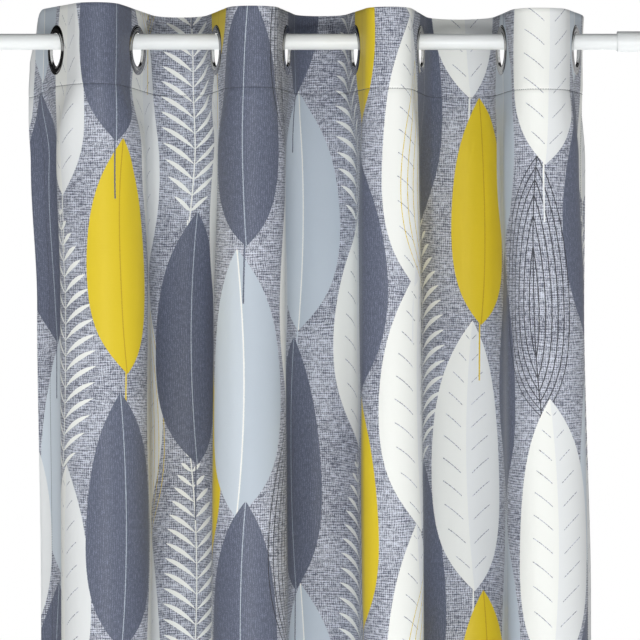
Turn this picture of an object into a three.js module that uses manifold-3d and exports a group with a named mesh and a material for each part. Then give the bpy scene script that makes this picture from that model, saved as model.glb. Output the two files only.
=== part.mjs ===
// Ring top curtain on a telescopic rod. One printed width hangs in seven deep half waves
// from eight ring eyelets, with a stiffened heading band, on a thin tube that slides into
// a thicker one.
//
// Millimetres. +X runs along the rod, to the right as seen from the room, +Y away from the
// room and +Z up. The origin is on the rod's axis, at the middle of the row of eyelets.

import * as THREE from "three";
import { mergeVertices } from "three/addons/utils/BufferGeometryUtils.js";
import Module from "manifold-3d";

const wasm = await Module();
wasm.setup();

const GAP = 0.35; // between pieces that touch on the real curtain

// Cloth, as it is cut and sewn
const EYELET_SPACING = 212; // along the flat cloth, from one eyelet to the next
const END_MARGIN = 98; // along the flat cloth, from the outer eyelet to the side edge
const CLOTH_DROP = 1370; // from the top edge to the bottom hem
const STEADY_DEPTH = 90; // from the top edge, over which the cloth keeps its angles
const HEADING_DEPTH = 102; // from the top edge to the seam under the eyelets
const SEAM_DIP = 11; // how much lower the seam runs at the left edge
const LEFT_CORNER_RADIUS = 44; // where the top edge meets the side edge
const RIGHT_CORNER_RADIUS = 14;
const CLOTH_THICKNESS = 1.6;
const HEADING_THICKNESS = 1.8;

// Eyelets: two rings that clip into each other and clamp the heading between them
const RING_HOLE_RADIUS = 21.35;
const RING_RADIUS = 32;
const RING_GROOVE_RADIUS = 24;
const RING_SIDES = 24;
const FLAT_AROUND_RING = 3; // how far the cloth stays straight beyond a ring
const DRILL_LENGTH = 20;

// The rolled face of a ring, from the hole outwards: its height above the middle of the cloth
const RING_FACE = [
  { radius: RING_HOLE_RADIUS, height: 1 },
  { radius: 22.1, height: 2.1 },
  { radius: 25, height: 2.4 },
  { radius: RING_RADIUS, height: 2 },
];

// Rod
const INNER_TUBE_RADIUS = 10.25;
const OUTER_TUBE_RADIUS = 13.35;
const INNER_TUBE_WALL = 1.2;
const OUTER_TUBE_WALL = 2.4;
const INNER_TUBE_LEFT = -476;
const INNER_TUBE_RIGHT = 485; // its hidden end, inside the outer tube
const OUTER_TUBE_LEFT = 385; // the mouth that the inner tube slides into
const OUTER_TUBE_RIGHT = 545;
const MOUTH_CHAMFER = 0.6;
const CAP_THICKNESS = 4;
const CAP_LIP = 1.5; // how far a cap stands out round its tube
const CAP_CHAMFER = 1;
const CAP_PLUG = 14; // how far it goes into the tube
const ROD_SIDES = 24;

// The eyelets hang on top of the rod, and some stand at a slant to it
const RING_PLAY = 0.5;
const RING_HEIGHT = INNER_TUBE_RADIUS + RING_PLAY - RING_HOLE_RADIUS;

// One row for each eyelet, from left to right. Under it the cloth crosses from one fold to
// the next: heading to hem are the places along the rod where it crosses, going down, and
// ring and cloth are its angles to the rod there, at the eyelet and below it, in degrees.
const COLUMNS = [
  { heading: -331.9, below: -331, upper: -325.8, middle: -324.5, hem: -321, ring: 66.9, cloth: 88 },
  { heading: -229.3, below: -219.5, upper: -215.5, middle: -212.9, hem: -209, ring: 73.6, cloth: 90 },
  { heading: -127.3, below: -125.5, upper: -130, middle: -132.5, hem: -135, ring: 75.4, cloth: 88 },
  { heading: -38, below: -40, upper: -40.3, middle: -37.5, hem: -33, ring: 80.4, cloth: 90.5 },
  { heading: 50.7, below: 56, upper: 56.3, middle: 58.9, hem: 61, ring: 78.5, cloth: 88 },
  { heading: 133.1, below: 131, upper: 133.6, middle: 136.8, hem: 141, ring: 78.8, cloth: 88 },
  { heading: 237.9, below: 238.5, upper: 242, middle: 244.5, hem: 246, ring: 80.5, cloth: 89 },
  { heading: 331.8, below: 334, upper: 340.8, middle: 345.9, hem: 350, ring: 75.5, cloth: 88 },
];
const CLOTH_WIDTH = 2 * END_MARGIN + (COLUMNS.length - 1) * EYELET_SPACING;

// How the folds change going down: which places and angles of the columns hold at a drop
// below the top edge, and how far the free ends beyond the outer eyelets turn, in degrees
const LEVELS = [
  { drop: 0, at: "heading", angle: "ring", left_turn: -10, right_turn: -15 },
  { drop: 45, at: "heading", angle: "ring", left_turn: 6, right_turn: -24 },
  { drop: STEADY_DEPTH, at: "heading", angle: "ring", left_turn: 9, right_turn: -22 },
  { drop: 190, at: "below", angle: "cloth", left_turn: 82, right_turn: 26 },
  { drop: 375, at: "upper", angle: "cloth", left_turn: 73, right_turn: 10 },
  { drop: 760, at: "middle", angle: "cloth", left_turn: 63, right_turn: 17 },
  { drop: CLOTH_DROP, at: "hem", angle: "cloth", left_turn: 57, right_turn: 31 },
];

// Height of the top edge above the rod's axis: at the left edge, at the middle of each half
// wave, and at the right edge
const TOP_EDGE = [47, 43, 38.3, 38.5, 40.3, 37, 35.3, 36, 39];

// How finely the solids follow the folds
const ARC_STEPS = 10;
const EDGE_STEPS = 9;
const HEADING_ROWS = [0, 20, 52, STEADY_DEPTH, HEADING_DEPTH];
const PANEL_ROWS = [
  HEADING_DEPTH + GAP, 115, 130, 148, 168, 190, 225, 275, 375, 520, 760, 1000, 1200, CLOTH_DROP,
];

const radians = THREE.MathUtils.degToRad;
const ease = (share) => share * share * (3 - 2 * share);

// The value at a place that lies between two of the given places, eased from one to the next
function between(places, values, place) {
  const next = Math.max(1, places.findIndex((other) => place <= other));
  const share = (place - places[next - 1]) / (places[next] - places[next - 1]);
  return THREE.MathUtils.lerp(values[next - 1], values[next], ease(share));
}

// What a level's row gives, worked out for any distance below the top edge
function atDrop(drop, value) {
  const drops = LEVELS.map((level) => level.drop);
  return between(drops, LEVELS.map(value), drop);
}

// The columns at one distance below the top edge
function columnsAt(drop) {
  return COLUMNS.map((column) => ({
    along: atDrop(drop, (level) => column[level.at]),
    steep: radians(atDrop(drop, (level) => column[level.angle])),
  }));
}

// Height of the top edge at a distance along the flat cloth
function topEdge(flat) {
  const middles = TOP_EDGE.map((height, i) => END_MARGIN + (i - 0.5) * EYELET_SPACING);
  const inside = (place) => THREE.MathUtils.clamp(place, 0, CLOTH_WIDTH);
  return between(middles.map(inside), TOP_EDGE, inside(flat));
}

// How far a rounded corner lies below the top edge, at a distance from the side edge
function cornerDip(radius, distance) {
  const inside = THREE.MathUtils.clamp(radius - distance, 0, radius);
  return radius - Math.sqrt(radius ** 2 - inside ** 2);
}

// How far the cloth is drawn down beside its left edge: most at the seam, and not at all at
// the top edge and the hem
function seamDip(flat, drop) {
  const beside = ease(THREE.MathUtils.clamp(1 - flat / END_MARGIN, 0, 1));
  const belowSeam = (CLOTH_DROP - drop) / (CLOTH_DROP - HEADING_DEPTH);
  return SEAM_DIP * beside * Math.min(drop / HEADING_DEPTH, belowSeam);
}

// Height of a place on the cloth
function heightAt(flat, drop) {
  const left = cornerDip(LEFT_CORNER_RADIUS, flat);
  const right = cornerDip(RIGHT_CORNER_RADIUS, CLOTH_WIDTH - flat);
  const inHeading = Math.max(0, 1 - drop / HEADING_DEPTH);
  return topEdge(flat) - drop - (left + right) * inHeading - seamDip(flat, drop);
}

// A step along the folded cloth, seen from above: a straight run, or an arc that turns
// through an angle. heading is the direction of travel.
function stepAlong(point, length, turn) {
  const heading = point.heading + turn;
  const bent = Math.abs(turn) > 1e-6;
  const reach = bent ? length / turn : length;
  const x = bent ? Math.sin(heading) - Math.sin(point.heading) : Math.cos(heading);
  const y = bent ? Math.cos(point.heading) - Math.cos(heading) : Math.sin(heading);
  return {
    x: point.x + reach * x,
    y: point.y + reach * y,
    flat: point.flat + length,
    heading,
  };
}

// The lengths of a half wave: straight out of the first column, round an arc and straight
// into the next, so that it spans the two columns with one eyelet spacing of cloth
function waveLengths(first, next) {
  const turn = first.steep + next.steep;
  const wide = (Math.sin(first.steep) + Math.sin(next.steep)) / turn;
  const deep = (Math.cos(first.steep) - Math.cos(next.steep)) / turn;
  const a = Math.cos(first.steep) - wide;
  const b = Math.cos(next.steep) - wide;
  const c = -Math.sin(first.steep) - deep;
  const d = Math.sin(next.steep) - deep;
  const span = next.along - first.along - EYELET_SPACING * wide;
  const shift = -EYELET_SPACING * deep;
  const out = (span * d - b * shift) / (a * d - b * c);
  const back = (a * shift - span * c) / (a * d - b * c);
  return { out, turn, arc: EYELET_SPACING - out - back, back };
}

// The free end beyond an outer column, from the column to the side edge. It turns through
// degrees on its way.
function sideEnd(column, degrees, side) {
  const straight = RING_RADIUS + FLAT_AROUND_RING;
  const turn = radians(degrees) / EDGE_STEPS;
  const start = { x: column.along, y: 0, flat: 0, heading: column.steep };
  const points = [start, stepAlong(start, straight, 0)];
  for (let i = 0; i < EDGE_STEPS; i += 1) {
    points.push(stepAlong(points.at(-1), (END_MARGIN - straight) / EDGE_STEPS, -turn));
  }
  return points.map((point) => ({
    x: column.along + side * (point.x - column.along),
    y: point.y,
    flat: point.flat,
    heading: side * point.heading,
  }));
}

// The folded cloth at one distance below the top edge, from the left edge to the right one
function foldLine(drop) {
  const columns = columnsAt(drop);
  const leftTurn = atDrop(drop, (level) => level.left_turn);
  const rightTurn = atDrop(drop, (level) => level.right_turn);
  const line = sideEnd(columns[0], leftTurn, -1).reverse();
  for (const point of line) {
    point.flat = END_MARGIN - point.flat;
  }
  for (let i = 0; i + 1 < columns.length; i += 1) {
    const towardsRoom = i % 2 === 0 ? -1 : 1;
    const { out, turn, arc, back } = waveLengths(columns[i], columns[i + 1]);
    let point = { ...line.at(-1), heading: towardsRoom * columns[i].steep };
    point = stepAlong(point, out, 0);
    line.push(point);
    for (let j = 0; j < ARC_STEPS; j += 1) {
      point = stepAlong(point, arc / ARC_STEPS, (-towardsRoom * turn) / ARC_STEPS);
      line.push(point);
    }
    line.push(stepAlong(point, back, 0));
  }
  const reached = line.at(-1).flat;
  for (const point of sideEnd(columns.at(-1), rightTurn, 1).slice(1)) {
    line.push({ ...point, flat: reached + point.flat });
  }
  return line;
}

// A closed solid sheet through rows of points, each a pair of a room side and a back side
function sheetSolid(rows) {
  const wide = rows[0].length;
  const positions = [];
  for (const face of ["room", "back"]) {
    for (const row of rows) {
      for (const pair of row) {
        positions.push(pair[face].x, pair[face].y, pair[face].z);
      }
    }
  }
  const backStart = rows.length * wide;
  const room = (r, c) => r * wide + c;
  const back = (r, c) => backStart + room(r, c);
  const triangles = [];
  const quad = (a, b, c, d) => triangles.push(a, b, c, a, c, d);
  for (let r = 0; r + 1 < rows.length; r += 1) {
    for (let c = 0; c + 1 < wide; c += 1) {
      quad(room(r, c), room(r + 1, c), room(r + 1, c + 1), room(r, c + 1));
      quad(back(r, c), back(r, c + 1), back(r + 1, c + 1), back(r + 1, c));
    }
    quad(room(r, 0), back(r, 0), back(r + 1, 0), room(r + 1, 0));
    quad(room(r, wide - 1), room(r + 1, wide - 1), back(r + 1, wide - 1), back(r, wide - 1));
  }
  const last = rows.length - 1;
  for (let c = 0; c + 1 < wide; c += 1) {
    quad(room(0, c), room(0, c + 1), back(0, c + 1), back(0, c));
    quad(room(last, c), back(last, c), back(last, c + 1), room(last, c + 1));
  }
  const geometry = new THREE.BufferGeometry();
  geometry.setAttribute("position", new THREE.Float32BufferAttribute(positions, 3));
  geometry.setIndex(triangles);
  return geometry;
}

// Cloth of one thickness that hangs in the folds, between the first and last of its rows
function hungCloth(drops, thickness) {
  const rows = drops.map((drop) =>
    foldLine(drop).map((point) => {
      const z = heightAt(point.flat, drop);
      const acrossX = (-Math.sin(point.heading) * thickness) / 2;
      const acrossY = (Math.cos(point.heading) * thickness) / 2;
      return {
        room: new THREE.Vector3(point.x - acrossX, point.y - acrossY, z),
        back: new THREE.Vector3(point.x + acrossX, point.y + acrossY, z),
      };
    }),
  );
  return sheetSolid(rows);
}

function toManifold(geometry) {
  const bare = geometry.clone();
  bare.deleteAttribute("normal");
  bare.deleteAttribute("uv");
  const merged = mergeVertices(bare, 1e-4);
  return new wasm.Manifold(
    new wasm.Mesh({
      numProp: 3,
      vertProperties: new Float32Array(merged.attributes.position.array),
      triVerts: new Uint32Array(merged.index.array),
    }),
  );
}

function fromManifold(solid) {
  const mesh = solid.getMesh();
  const geometry = new THREE.BufferGeometry();
  geometry.setAttribute("position", new THREE.Float32BufferAttribute(mesh.vertProperties, 3));
  geometry.setIndex([...mesh.triVerts]);
  return geometry;
}

// How an eyelet sits on the rod: its axis is square to the cloth. The cloth leans the
// other way at every second eyelet.
function placeEyelet(geometry, index) {
  const column = COLUMNS[index];
  const lean = index % 2 === 0 ? -1 : 1;
  geometry.rotateZ(lean * radians(column.ring));
  geometry.translate(column.heading, 0, RING_HEIGHT);
  return geometry;
}

// The stiffened band, with a hole for each eyelet's barrel
function makeHeading() {
  let heading = toManifold(hungCloth(HEADING_ROWS, HEADING_THICKNESS));
  const holeRadius = (RING_GROOVE_RADIUS + GAP) / Math.cos(Math.PI / RING_SIDES);
  COLUMNS.forEach((column, index) => {
    const drill = new THREE.CylinderGeometry(holeRadius, holeRadius, DRILL_LENGTH, RING_SIDES);
    heading = heading.subtract(toManifold(placeEyelet(drill, index)));
  });
  return fromManifold(heading);
}

// One eyelet: two rolled rings back to back, with a groove between them for the heading
function makeEyelet(index) {
  const groove = HEADING_THICKNESS / 2 + GAP;
  const oneSide = RING_FACE.map(({ radius, height }) => [radius, -height]);
  const otherSide = RING_FACE.map(({ radius, height }) => [radius, height]).reverse();
  const profile = [
    ...oneSide,
    [RING_RADIUS, -groove],
    [RING_GROOVE_RADIUS, -groove],
    [RING_GROOVE_RADIUS, groove],
    [RING_RADIUS, groove],
    ...otherSide,
    oneSide[0],
  ];
  return placeEyelet(latheOf(profile, RING_SIDES), index);
}

// A solid of revolution round the Y axis, from radius and height pairs
function latheOf(profile, sides) {
  return new THREE.LatheGeometry(profile.map(([r, h]) => new THREE.Vector2(r, h)), sides);
}

// The same, laid along the rod: height becomes the place along X
function latheAlongRod(profile) {
  return latheOf(profile, ROD_SIDES).rotateZ(-Math.PI / 2);
}

function makeInnerTube() {
  const bore = INNER_TUBE_RADIUS - INNER_TUBE_WALL;
  return latheAlongRod([
    [bore, INNER_TUBE_LEFT],
    [INNER_TUBE_RADIUS, INNER_TUBE_LEFT],
    [INNER_TUBE_RADIUS, INNER_TUBE_RIGHT],
    [bore, INNER_TUBE_RIGHT],
    [bore, INNER_TUBE_LEFT],
  ]);
}

function makeOuterTube() {
  const bore = OUTER_TUBE_RADIUS - OUTER_TUBE_WALL;
  return latheAlongRod([
    [bore, OUTER_TUBE_LEFT],
    [OUTER_TUBE_RADIUS - MOUTH_CHAMFER, OUTER_TUBE_LEFT],
    [OUTER_TUBE_RADIUS, OUTER_TUBE_LEFT + MOUTH_CHAMFER],
    [OUTER_TUBE_RADIUS, OUTER_TUBE_RIGHT],
    [bore, OUTER_TUBE_RIGHT],
    [bore, OUTER_TUBE_LEFT],
  ]);
}

// A flat disc against the tube's end, with a plug that goes into the tube. side is -1 for
// the left end and 1 for the right one.
function makeCap(tubeEnd, tubeRadius, wall, side) {
  const plug = (tubeRadius - wall) * Math.cos(Math.PI / ROD_SIDES) - GAP;
  const face = tubeEnd + side * (GAP + CAP_THICKNESS);
  const shoulder = tubeEnd + side * GAP;
  const profile = [
    [0, face],
    [tubeRadius + CAP_LIP - CAP_CHAMFER, face],
    [tubeRadius + CAP_LIP, face - side * CAP_CHAMFER],
    [tubeRadius + CAP_LIP, shoulder],
    [plug, shoulder],
    [plug, tubeEnd - side * CAP_PLUG],
    [0, tubeEnd - side * CAP_PLUG],
  ];
  return latheAlongRod(side < 0 ? profile : profile.reverse());
}

const material = (color, roughness, metalness) =>
  new THREE.MeshStandardMaterial({ color, roughness, metalness });
const printedCloth = material("#8b8d98", 0.9, 0);
const darkMetal = material("#8c8b8a", 0.2, 1);
const brightMetal = material("#c9cacc", 0.2, 1);
const whiteEnamel = material("#f1f3f2", 0.35, 0);

const curtain = new THREE.Group();

function add(name, geometry, finish) {
  const mesh = new THREE.Mesh(geometry, finish);
  mesh.name = name;
  curtain.add(mesh);
}

add("curtain_panel", hungCloth(PANEL_ROWS, CLOTH_THICKNESS), printedCloth);
add("heading_strip", makeHeading(), printedCloth);
COLUMNS.forEach((column, index) => {
  const last = index === COLUMNS.length - 1;
  add(`eyelet_${index + 1}`, makeEyelet(index), last ? brightMetal : darkMetal);
});
add("rod_inner_tube", makeInnerTube(), whiteEnamel);
add("rod_outer_tube", makeOuterTube(), whiteEnamel);
add("rod_cap_left", makeCap(INNER_TUBE_LEFT, INNER_TUBE_RADIUS, INNER_TUBE_WALL, -1), whiteEnamel);
add("rod_cap_right", makeCap(OUTER_TUBE_RIGHT, OUTER_TUBE_RADIUS, OUTER_TUBE_WALL, 1), whiteEnamel);

export default curtain;
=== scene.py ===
# %% [markdown]
# # Ring top curtain on a telescopic rod
#
# The object is one width of printed cloth, hung in deep wavy folds from eight metal ring
# eyelets on a white rod made of two tubes. The packed solids hold its real sizes. This
# lesson dresses them. Each step says what the piece is on a real curtain, how it could be
# made in Blender, and why it is made the way it is.

# %% Load the frame
import math

import bpy
import numpy as np
from mathutils import Euler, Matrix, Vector, noise


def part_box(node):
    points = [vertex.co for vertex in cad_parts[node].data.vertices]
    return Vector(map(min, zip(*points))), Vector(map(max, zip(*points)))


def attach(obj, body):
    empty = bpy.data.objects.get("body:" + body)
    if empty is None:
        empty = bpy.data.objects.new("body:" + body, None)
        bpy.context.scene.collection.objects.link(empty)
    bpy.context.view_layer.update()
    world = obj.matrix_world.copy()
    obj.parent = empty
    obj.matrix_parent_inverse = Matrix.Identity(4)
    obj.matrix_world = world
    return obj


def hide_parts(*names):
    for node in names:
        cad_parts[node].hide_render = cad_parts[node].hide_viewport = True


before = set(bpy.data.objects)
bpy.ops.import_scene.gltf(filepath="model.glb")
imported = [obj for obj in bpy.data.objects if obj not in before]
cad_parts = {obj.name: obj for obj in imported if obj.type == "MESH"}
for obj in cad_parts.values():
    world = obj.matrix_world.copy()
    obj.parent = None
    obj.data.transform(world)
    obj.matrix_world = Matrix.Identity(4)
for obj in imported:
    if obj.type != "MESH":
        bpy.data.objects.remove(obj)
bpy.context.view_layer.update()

# %% [markdown]
# ## Camera
#
# A product picture of something wide and flat is taken from far away with a long lens, so
# that the sides don't lean. The camera stands level with the upper third of the cloth and
# looks straight at it.

# %% Camera
LENS = 193.4  # millimetres, on a sensor 36 mm wide
CAMERA_PLACE = (0.005, -4.4, -0.356)

camera_data = bpy.data.cameras.new("camera")
camera_data.sensor_width = 36
camera_data.lens = LENS
camera = bpy.data.objects.new("camera", camera_data)
camera.location = CAMERA_PLACE
camera.rotation_euler = (math.radians(90), 0, 0)
bpy.context.scene.collection.objects.link(camera)
bpy.context.scene.camera = camera
print("camera sees", round(camera_data.sensor_width / LENS * -CAMERA_PLACE[1], 3), "m across")

# %% [markdown]
# ## Sizes
#
# These are the sizes that a curtain maker works with. A flat distance runs along the cloth
# as it was cut, from its left side edge, and a drop runs down from its top edge. Everything
# sewn or printed is placed in those two measures, and the folds then carry it into space.

# %% Sizes
MM = 0.001
EYELET_SPACING = 212 * MM  # along the cloth
END_MARGIN = 98 * MM  # from a side edge to the nearest eyelet
CLOTH_DROP = 1370 * MM
STEADY_DEPTH = 90 * MM  # down to here each fold keeps its place
HEADING_DEPTH = 102 * MM
SEAM_DIP = 11 * MM  # how far the heading's seam runs down at the left edge
LEFT_CORNER_RADIUS = 44 * MM
RIGHT_CORNER_RADIUS = 14 * MM
CLOTH_THICKNESS = 1.6 * MM
HEADING_THICKNESS = 1.8 * MM
SIDE_HEM = 22 * MM
BOTTOM_HEM = 60 * MM
HEM_THICKNESS = 1 * MM  # what the turned-in layers add at the back

RING_RADIUS = 32 * MM
RING_CUT_RADIUS = 24.4 * MM  # of the hole in the cloth
FLAT_AROUND_RING = 3 * MM


def table(names, *rows):
    """One dictionary for each row, from the names of the columns."""
    return [dict(zip(names.split(), row)) for row in rows]


# One row for each eyelet, from left to right: where the cloth crosses from one fold to the
# next, going down, in millimetres, and its angles to the rod at the eyelet and below it
COLUMNS = table(
    "heading below upper middle hem ring cloth",
    (-331.9, -331, -325.8, -324.5, -321, 66.9, 88),
    (-229.3, -219.5, -215.5, -212.9, -209, 73.6, 90),
    (-127.3, -125.5, -130, -132.5, -135, 75.4, 88),
    (-38, -40, -40.3, -37.5, -33, 80.4, 90.5),
    (50.7, 56, 56.3, 58.9, 61, 78.5, 88),
    (133.1, 131, 133.6, 136.8, 141, 78.8, 88),
    (237.9, 238.5, 242, 244.5, 246, 80.5, 89),
    (331.8, 334, 340.8, 345.9, 350, 75.5, 88),
)
CLOTH_WIDTH = 2 * END_MARGIN + (len(COLUMNS) - 1) * EYELET_SPACING

# How the folds change going down, and how far the free ends turn, in degrees
LEVELS = table(
    "drop at angle left_turn right_turn",
    (0, "heading", "ring", -10, -15),
    (45 * MM, "heading", "ring", 6, -24),
    (STEADY_DEPTH, "heading", "ring", 9, -22),
    (190 * MM, "below", "cloth", 82, 26),
    (375 * MM, "upper", "cloth", 73, 10),
    (760 * MM, "middle", "cloth", 63, 17),
    (CLOTH_DROP, "hem", "cloth", 57, 31),
)
DROPS = [level["drop"] for level in LEVELS]

# Height of the top edge above the rod's axis, in millimetres: at the left edge, at the
# middle of each half wave, and at the right edge
TOP_EDGE = [47, 43, 38.3, 38.5, 40.3, 37, 35.3, 36, 39]
print("flat cloth", round(CLOTH_WIDTH, 3), "by", CLOTH_DROP)

# %% [markdown]
# ## The line of the folds
#
# Seen from above, hung cloth runs straight past an eyelet, turns round an arc and runs
# straight into the next eyelet. The arc's length follows from the flat width between two
# eyelets, because cloth doesn't stretch. The same rule made the solids, so the thin cloth
# made here lies in them. A short running average takes the last stiffness out of it.

# %% Easing between given places
def ease(share):
    """A share from 0 to 1 that starts and ends gently."""
    share = np.clip(share, 0, 1)
    return share * share * (3 - 2 * share)


def between(places, values, place):
    """The value at a place between two of the given ones, eased from one to the next."""
    after = np.clip(np.searchsorted(places, place), 1, len(places) - 1)
    first, last = np.take(places, after - 1), np.take(places, after)
    start, end = np.take(values, after - 1), np.take(values, after)
    return start + (end - start) * ease((place - first) / (last - first))


print("half way between 0 and 10", between([0, 1], [0, 10], 0.5))


# %% Half waves
def columns_at(drop):
    """Where each column crosses the plane of the rod at a drop, and its angle there."""
    return [
        (
            between(DROPS, [column[level["at"]] * MM for level in LEVELS], drop),
            math.radians(between(DROPS, [column[level["angle"]] for level in LEVELS], drop)),
        )
        for column in COLUMNS
    ]


def wave_lengths(first, second):
    """Straight out of one column, round an arc, straight into the next: the lengths."""
    (start, steep), (end, steep_next) = first, second
    turn = steep + steep_next
    wide = (math.sin(steep) + math.sin(steep_next)) / turn
    deep = (math.cos(steep) - math.cos(steep_next)) / turn
    a, b = math.cos(steep) - wide, math.cos(steep_next) - wide
    c, d = -math.sin(steep) - deep, math.sin(steep_next) - deep
    span, shift = end - start - EYELET_SPACING * wide, -EYELET_SPACING * deep
    out = (span * d - b * shift) / (a * d - b * c)
    back = (a * shift - span * c) / (a * d - b * c)
    return out, EYELET_SPACING - out - back, back, turn


print("half waves at the seam", [round(sum(wave_lengths(a, b)[:3]), 3) for a, b in zip(
    columns_at(HEADING_DEPTH), columns_at(HEADING_DEPTH)[1:])])

# %% The folded line
SOFTEN = 9 * MM  # half the width of the running average
SOFTEN_TAPER = 0.9  # how much less the ends of the average count than its middle
SOFTEN_STEPS = np.linspace(-1, 1, 9)
SOFTEN_WEIGHTS = 1 - np.abs(SOFTEN_STEPS) * SOFTEN_TAPER
SOFTEN_WEIGHTS = SOFTEN_WEIGHTS / SOFTEN_WEIGHTS.sum()


def along_run(start, length, turn, distance):
    """Places along one run, a straight or an arc: x, y and the direction of travel."""
    x, y, heading = start
    if abs(turn) < 1e-6:
        straight = heading + 0 * distance
        return x + math.cos(heading) * distance, y + math.sin(heading) * distance, straight
    bend = turn / length
    ahead = heading + bend * distance
    return (
        x + (np.sin(ahead) - math.sin(heading)) / bend,
        y + (math.cos(heading) - np.cos(ahead)) / bend,
        ahead,
    )


def sharp_line(drop, flats):
    """The folded cloth at one drop: x, y and heading for each flat distance."""
    columns = columns_at(drop)
    left_turn = math.radians(between(DROPS, [level["left_turn"] for level in LEVELS], drop))
    right_turn = math.radians(between(DROPS, [level["right_turn"] for level in LEVELS], drop))
    straight = RING_RADIUS + FLAT_AROUND_RING
    free = END_MARGIN - straight
    place, steep = columns[0]
    # From the first column back to the left edge, which says where the line starts
    reach, out, edge = along_run((0, 0, steep), straight, 0, straight)
    reach, out, edge = along_run((reach, out, steep), free, -left_turn, free)
    runs, side = [(free, -left_turn), (straight, 0)], 1
    for first, second in zip(columns, columns[1:]):
        out_length, arc, back, turn = wave_lengths(first, second)
        runs += [(out_length, 0), (arc, side * turn), (back, 0)]
        side = -side
    runs += [(straight, 0), (free, -right_turn)]
    line = np.zeros((3, len(flats)))
    start, reached = (place - reach, out, -edge), 0.0
    for number, (length, turn) in enumerate(runs):
        last = number == len(runs) - 1
        here = (flats >= reached) & ((flats < reached + length) | last)
        line[:, here] = along_run(start, length, turn, flats[here] - reached)
        start = along_run(start, length, turn, length)
        reached += length
    return line


def fold_line(drop, flats):
    """The same line with its changes of bend softened."""
    flats = np.asarray(flats, float)
    window = np.minimum(SOFTEN, np.minimum(flats, CLOTH_WIDTH - flats))
    line = np.zeros((3, len(flats)))
    for step, weight in zip(SOFTEN_STEPS, SOFTEN_WEIGHTS):
        line += weight * sharp_line(drop, flats + step * window)
    return line


print("side edges at the hem", fold_line(CLOTH_DROP, [0, CLOTH_WIDTH])[:2].round(3).tolist())

# %% [markdown]
# ## Height, and the small unevenness of hung cloth
#
# The top edge dips and rises from fold to fold, its corners are rounded, and the seam runs
# down towards the left edge. Cloth also keeps soft ridges and troughs from its folding in
# the packet. A simulation would invent its own, so each one is given as a row of a table:
# where it lies on the flat cloth, how wide and how high it is, where it starts and ends,
# and how far it drifts sideways on the way down. Round the rings the cloth is clamped
# flat, so there the relief fades out.

# %% Creases
# Everything is in millimetres. top and bottom are drops, and a negative rise is a trough.
CREASES = table(
    "flat wide rise top bottom drift",
    (56, 6, -1.6, 60, 420, 6),
    (30, 9, 0.9, 160, 1300, -4),
    (84, 10, 0.8, 150, 900, 5),
    (176, 14, -1.1, 60, 700, 10),
    (214, 12, 0.9, 20, 1200, -8),
    (262, 7, -1.2, 70, 360, -12),
    (372, 6, -1.5, 0, 330, 4),
    (402, 11, 1.1, 10, 1100, 12),
    (452, 9, -1.0, 60, 520, -10),
    (588, 13, -1.2, 120, 1250, 14),
    (632, 12, 1.0, 30, 640, -6),
    (694, 5, -2.0, 45, 210, 7),
    (709, 4, 1.4, 55, 190, 9),
    (786, 7, -1.2, 20, 300, -5),
    (836, 14, 1.2, 0, 1000, 9),
    (884, 9, -1.1, 90, 560, 8),
    (1012, 11, 1.0, 40, 860, -9),
    (1052, 8, -1.4, 30, 420, 5),
    (1096, 13, 0.9, 140, 1280, 7),
    (1222, 7, -1.6, 10, 380, 8),
    (1262, 13, 1.0, 20, 900, -10),
    (1310, 8, -1.1, 80, 480, -6),
    (1420, 9, -1.3, 40, 760, 6),
    (1462, 14, 1.1, 0, 1200, -12),
    (1512, 8, -1.2, 70, 430, 9),
    (1624, 9, -0.9, 90, 600, 4),
)
CREASE_FADE = 70 * MM

# The unevenness between the creases: how high, how often it changes along the cloth and
# down it, and where it is taken from Blender's fixed noise
UNEVEN = [
    dict(rise=0.5 * MM, along=11, down=3.1, layer=4.2),
    dict(rise=0.2 * MM, along=31, down=9.0, layer=1.7),
]
print("creases", len(CREASES))


# %% Height
def top_edge(flats):
    """Height of the top edge above the rod's axis."""
    middles = [END_MARGIN + (i - 0.5) * EYELET_SPACING for i in range(len(TOP_EDGE))]
    places = np.clip(middles, 0, CLOTH_WIDTH)
    return between(places, np.array(TOP_EDGE) * MM, np.clip(flats, 0, CLOTH_WIDTH))


def corner_dip(radius, distance):
    """How far a rounded corner lies below the top edge."""
    inside = np.clip(radius - distance, 0, radius)
    return radius - np.sqrt(radius**2 - inside**2)


def height_at(flats, drop):
    """Height of places on the cloth."""
    corners = corner_dip(LEFT_CORNER_RADIUS, flats)
    corners = corners + corner_dip(RIGHT_CORNER_RADIUS, CLOTH_WIDTH - flats)
    in_heading = max(0, 1 - drop / HEADING_DEPTH)
    below_seam = (CLOTH_DROP - drop) / (CLOTH_DROP - HEADING_DEPTH)
    dip = SEAM_DIP * ease(1 - flats / END_MARGIN) * min(drop / HEADING_DEPTH, below_seam)
    return top_edge(flats) - drop - corners * in_heading - dip


print("left edge of the heading", height_at(np.zeros(1), 0), height_at(np.zeros(1), HEADING_DEPTH))

# %% Points on the cloth
RING_FLATS = [END_MARGIN + i * EYELET_SPACING for i in range(len(COLUMNS))]
RING_FADE = 22 * MM  # from the rim of a ring to cloth that is free
ring_low, ring_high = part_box("eyelet_1")
RING_HEIGHT = (ring_low.z + ring_high.z) / 2


def beside_rings(flats, drop):
    """0 where a ring clamps the cloth flat, rising to 1 away from it."""
    free = np.ones(len(flats))
    for flat in RING_FLATS:
        down = drop - (float(top_edge(flat)) - RING_HEIGHT)
        away = np.hypot(flats - flat, down) - RING_RADIUS
        free = np.minimum(free, ease(away / RING_FADE))
    return free


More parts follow.
